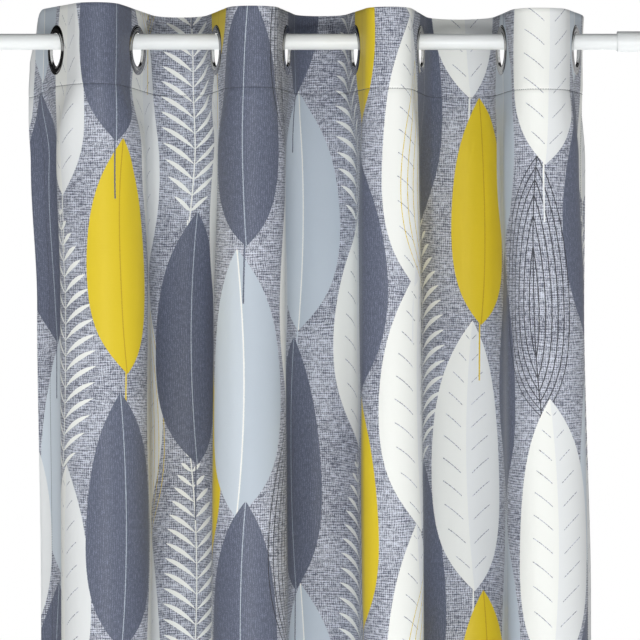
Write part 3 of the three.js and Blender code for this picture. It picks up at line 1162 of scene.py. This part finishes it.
def flat_cloth(finish):
    """The flat cloth's own measures, from the UV map."""
    place = finish.node("UVMap", {"uv_map": "flat_cloth"}).outputs[0]
    parts = finish.node("SeparateXYZ", None, {0: place}).outputs
    return Number(finish, parts[0]), Number(finish, parts[1]), place


def yarn_relief(finish, place):
    """Yarns that cross, as a bump."""
    yarn = finish.grain(place, (240, 1500, 1), 1.0) + finish.grain(place, (1500, 240, 1), 1.0)
    return finish.bump(yarn, YARN_RELIEF, 0.5)


def printed_side():
    """The room side of the cloth, and what is turned over to the back."""
    finish = Finish("printed cloth")
    u, v, place = flat_cloth(finish)
    made, weave = print_colour(finish, u, v, place)
    return finish.surface(
        Base_Color=made,
        Roughness=0.5 + weave * 0.06,
        Normal=yarn_relief(finish, place),
        Specular_IOR_Level=0.3,
        Sheen_Weight=0.06,
        Sheen_Roughness=0.5,
    )


def plain_side():
    """The back of the cloth, where the print only shows through as a ghost."""
    finish = Finish("back of the cloth")
    u, v, place = flat_cloth(finish)
    made, weave = print_colour(finish, u, v, place)
    bare = finish.mix(weave, colour("#c9c9cb"), colour("#dddddd"))
    return finish.surface(
        Base_Color=finish.mix(0.2, bare, made),
        Roughness=0.88 + weave * 0.05,
        Normal=yarn_relief(finish, place),
        Sheen_Weight=0.1,
    )


cloth_finish, reverse_finish = printed_side(), plain_side()
for piece in (panel, heading):
    piece.data.materials.append(cloth_finish)
    piece.data.materials.append(reverse_finish)
print("nodes in the print", len(cloth_finish.node_tree.nodes))

# %% [markdown]
# ## Thread, metal, enamel and plastic
#
# The thread is darker than the cloth, so the seams show as fine dark lines. The rings are
# polished metal: what they mirror gives them most of their look, and the base colour only
# says how dark the mirror is. The last ring gets a lighter copy of the same metal and the
# barrels a lighter metal still, both painted reflection of the pale room. The tubes are
# white enamel on steel with a slight orange peel.

# %% Other finishes
def thread_finish():
    """Dark twisted thread."""
    finish = Finish("thread")
    place = finish.node("TexCoord").outputs["Object"]
    twist = finish.grain(place, (1800, 1800, 1800), 1.0)
    return finish.surface(
        Base_Color=finish.mix(twist, colour("#3d4049"), colour("#6b6e79")),
        Roughness=0.7 + twist * 0.15,
        Normal=finish.bump(twist, 0.1 * MM, 0.5),
    )


def ring_finish(name, dark, light):
    """Polished metal, a little cloudy."""
    finish = Finish(name)
    place = finish.node("TexCoord").outputs["Object"]
    cloud = finish.grain(place, (60, 60, 60), 3.0)
    rub = finish.grain(place, (900, 900, 900), 2.0)
    return finish.surface(
        Base_Color=finish.mix(cloud, colour(dark), colour(light)),
        Metallic=1.0,
        Roughness=0.02 + cloud * 0.03 + rub * 0.02,
        Normal=finish.bump(rub, 0.01 * MM, 0.2),
    )


def enamel_finish(name, dark, light, rough):
    """Smooth enamel or plastic under a thin coat."""
    finish = Finish(name)
    place = finish.node("TexCoord").outputs["Object"]
    cloud = finish.grain(place, (14, 40, 40), 3.0)
    peel = finish.grain(place, (500, 500, 500), 2.0)
    return finish.surface(
        Base_Color=finish.mix(cloud, colour(dark), colour(light)),
        Roughness=rough + cloud * 0.1,
        Normal=finish.bump(peel, 0.03 * MM, 0.4),
        Coat_Weight=0.1,
        Coat_Roughness=0.15,
    )


thread = thread_finish()
black_nickel = ring_finish("black nickel", "#8f8e8d", "#9c9b9a")
# Painted reflection: the last ring gets a lighter copy of the same nickel
nickel_with_painted_reflection = ring_finish("nickel with painted reflection", "#bcbdbf", "#c8c9cb")
# Painted reflection: the barrels' lighter metal stands for the white room they mirror
barrel_with_painted_reflection = ring_finish("barrel with painted reflection", "#dddcdb", "#e8e7e6")
enamel = enamel_finish("white enamel", "#eef2f2", "#f5f8f8", 0.44)
plastic = enamel_finish("white plastic", "#e9eceb", "#f2f4f3", 0.36)
print("finishes", [finish.name for finish in (thread, black_nickel, nickel_with_painted_reflection, enamel)])


# %% Dress the solids
def dress(piece, material, slot, *nodes):
    """Gives a piece its finish, its body and the solids that it stands for."""
    if material:
        piece.data.materials.append(material)
    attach(piece, "root")
    if nodes:
        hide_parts(*nodes)


dress(panel, None, "printed_cloth", "curtain_panel")
dress(heading, None, "printed_cloth", "heading_strip")
for piece in stitches:
    dress(piece, thread, "printed_cloth")
for index, ring in enumerate(rings):
    # The last ring's lighter nickel is painted reflection of the pale room
    last = index == len(rings) - 1
    slot = "eyelet_bright" if last else "eyelet_dark"
    dress(ring, nickel_with_painted_reflection if last else black_nickel, slot, f"eyelet_{index + 1}")
    # The barrel's lighter metal is painted reflection of the white room
    ring.data.materials.append(nickel_with_painted_reflection if last else barrel_with_painted_reflection)
dress(tubes[0], enamel, "rod_enamel", "rod_inner_tube")
dress(tubes[1], enamel, "rod_enamel", "rod_outer_tube")
dress(caps[0], plastic, "rod_cap", "rod_cap_left")
dress(caps[1], plastic, "rod_cap", "rod_cap_right")

print("finished pieces", 2 + len(stitches) + len(rings) + len(tubes) + len(caps))

# %% [markdown]
# ## Floor and light
#
# The set is a pale floor in a white room. A product picture like this one is lit almost
# from the camera, so that the backs of the folds are as bright as their fronts. The key
# light stands lower than the rod, so the rod darkens the cloth just above it. The floor is
# a light table, whose glow reaches the underside of the rod. One more light behind the
# cloth shows its back in the views from there. Polished rings show the room itself: it is
# dark behind on the left, where the black rings look, paler behind on the right, and
# bright at the front.

# %% Floor
FLOOR_HEIGHT = -1.45
FLOOR_SIZE = 12
FLOOR_GLOW = 0.6
WHITE = (1, 1, 1, 1)

bpy.ops.object.select_all(action="DESELECT")
bpy.ops.mesh.primitive_plane_add(size=FLOOR_SIZE, location=(0, 0, FLOOR_HEIGHT))
floor = bpy.context.object
floor.name = "floor"
floor_finish = Finish("pale floor")
floor_place = floor_finish.node("TexCoord").outputs["Object"]
floor_cloud = floor_finish.grain(floor_place, (1.5, 1.5, 1.5), 2.0)
floor.data.materials.append(
    floor_finish.surface(
        Base_Color=floor_finish.mix(floor_cloud, colour("#eeeeec"), colour("#f4f4f3")),
        Roughness=0.6,
        Emission_Color=WHITE,
        Emission_Strength=FLOOR_GLOW,
    )
)
print("floor", [round(side) for side in floor.dimensions])


# %% Lamps
def softbox(name, place, aim, size, power):
    """A square lamp that the camera doesn't see. size is its width and height."""
    data = bpy.data.lights.new(name, "AREA")
    data.shape = "RECTANGLE"
    data.size, data.size_y = size
    data.energy = power
    lamp = bpy.data.objects.new(name, data)
    lamp.location = place
    lamp.visible_camera = False
    lamp.rotation_euler = (Vector(aim) - Vector(place)).to_track_quat("-Z", "Y").to_euler()
    bpy.context.scene.collection.objects.link(lamp)


MIDDLE = (0, 0, -0.5)  # of the cloth
softbox("key", place=(-0.08, -3.6, -1.2), aim=MIDDLE, size=(0.9, 0.9), power=76)
softbox("rear light", place=(0, 4.4, -1.0), aim=MIDDLE, size=(1.0, 1.0), power=80)
print("lights", [light.name for light in bpy.data.lights])

# %% Light of the room
room = Finish("studio", bpy.data.worlds)
direction = room.node("TexCoord").outputs["Generated"]
parts = room.node("SeparateXYZ", None, {0: direction}).outputs
aside, away, height = (Number(room, part) for part in parts)
# The front wall is brighter to the sides, and the rear wall is dark on the left
front = room.between(abs(aside), 0.15, 0.3) * 0.3 + 0.5
rear = room.between(aside, -0.2, 0.2) * 0.42 + 0.03
behind = room.between(away, -0.1, 0.2)
# Above the rod the walls are dark, up to a ceiling with a lamp on each side at the front
walls = (front + behind * (rear - front)) * (1 - room.between(height, 0.05, 0.25) * 0.98)
ceiling = room.between(height, 0.65, 0.8) * room.between(abs(aside), 0.05, 0.2) * (1 - behind)
strength = walls.most(ceiling * 0.8)
lit = room.node("Background", None, {"Color": WHITE, "Strength": strength})
# The camera itself sees plain white
plain = room.node("Background", None, {"Color": WHITE, "Strength": 1.0})
seen = room.node("LightPath").outputs["Is Camera Ray"]
shown = room.node("MixShader", None, {0: seen, 1: lit.outputs[0], 2: plain.outputs[0]})
room.node("OutputWorld", None, {"Surface": shown.outputs[0]})
bpy.context.scene.world = room.holder
bpy.context.scene.view_settings.view_transform = "Standard"
print("nodes in the room's light", len(room.tree.nodes))

# %% [markdown]
